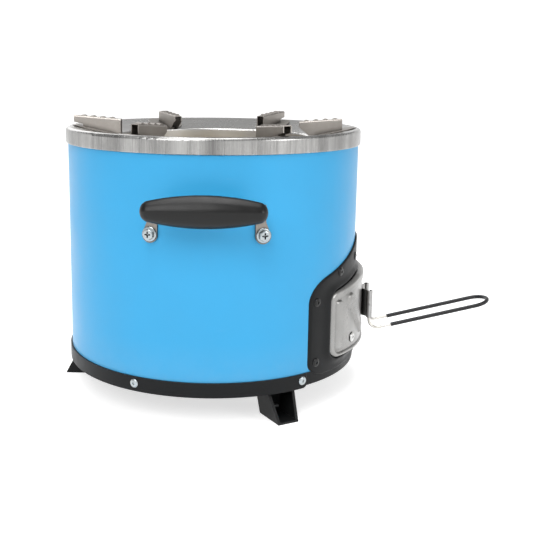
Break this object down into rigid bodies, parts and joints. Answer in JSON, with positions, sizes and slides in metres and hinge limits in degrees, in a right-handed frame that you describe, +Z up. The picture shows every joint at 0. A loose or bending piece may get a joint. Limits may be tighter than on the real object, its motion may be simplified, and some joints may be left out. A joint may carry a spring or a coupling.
{
  "type": "charcoal cookstove",
  "caption": "Round portable charcoal stove: painted drum, steel top ring with pot rests, two side grips, bolted bezel and a slide-out ash drawer with a wire handle.",
  "frame": {"origin": "on the stove's upright axis, at the ground under the feet", "axes": "+Z up, -Y out through the ash drawer, +X to the right seen from the drawer"},
  "size_m": [0.3646, 0.424, 0.261],
  "materials": {
    "blue_paint": "semi-matt powder coat",
    "black_paint": "semi-matt powder coat",
    "stainless_steel": "brushed",
    "galvanised_steel": "dull mill finish",
    "zinc_plated": "bright zinc",
    "black_moulding": "moulded satin",
    "black_sleeve": "dipped satin",
    "cast_iron": "as cast",
    "fibre_blanket": "fibrous"
  },
  "bodies": {
    "stove": {"outer_shell": "blue_paint", "base_pan": "black_paint", "base_band": "black_paint", "door_bezel": "black_paint", "foot_front_left": "black_paint", "foot_front_right": "black_paint", "foot_rear": "black_paint", "bezel_rivets": "black_paint", "top_ring": "stainless_steel", "pot_rest_inner_front": "stainless_steel", "pot_rest_inner_right": "stainless_steel", "pot_rest_inner_left": "stainless_steel", "pot_rest_outer_right": "stainless_steel", "pot_rest_outer_rear": "stainless_steel", "pot_rest_outer_left": "stainless_steel", "handle_lugs_left": "stainless_steel", "handle_lugs_right": "stainless_steel", "baffle_plate": "galvanised_steel", "fire_chamber": "galvanised_steel", "inner_jacket": "galvanised_steel", "ash_box": "galvanised_steel", "drawer_runner_left": "galvanised_steel", "drawer_runner_right": "galvanised_steel", "base_rivets": "zinc_plated", "handle_bolts": "zinc_plated", "handle_nuts": "zinc_plated", "runner_rivets": "zinc_plated", "foot_rivets": "zinc_plated", "side_grip_left": "black_moulding", "side_grip_right": "black_moulding", "insulation": "fibre_blanket"},
    "drawer": {"ash_tray": "stainless_steel", "tray_front": "stainless_steel", "tray_rivets": "zinc_plated", "handle_bracket": "stainless_steel", "bracket_rivets": "zinc_plated", "wire_handle": "stainless_steel", "wire_sleeve": "black_sleeve"},
    "grate": {"charcoal_grate": "cast_iron"}
  },
  "joints": [
    {"name": "drawer_slide", "type": "slide", "parent": "stove", "child": "drawer", "axis": [0, -1, 0], "range_m": [0, 0.245]},
    {"name": "grate_lift", "type": "slide", "parent": "stove", "child": "grate", "axis": [0, 0, 1], "range_m": [0, 0.11]}
  ]
}
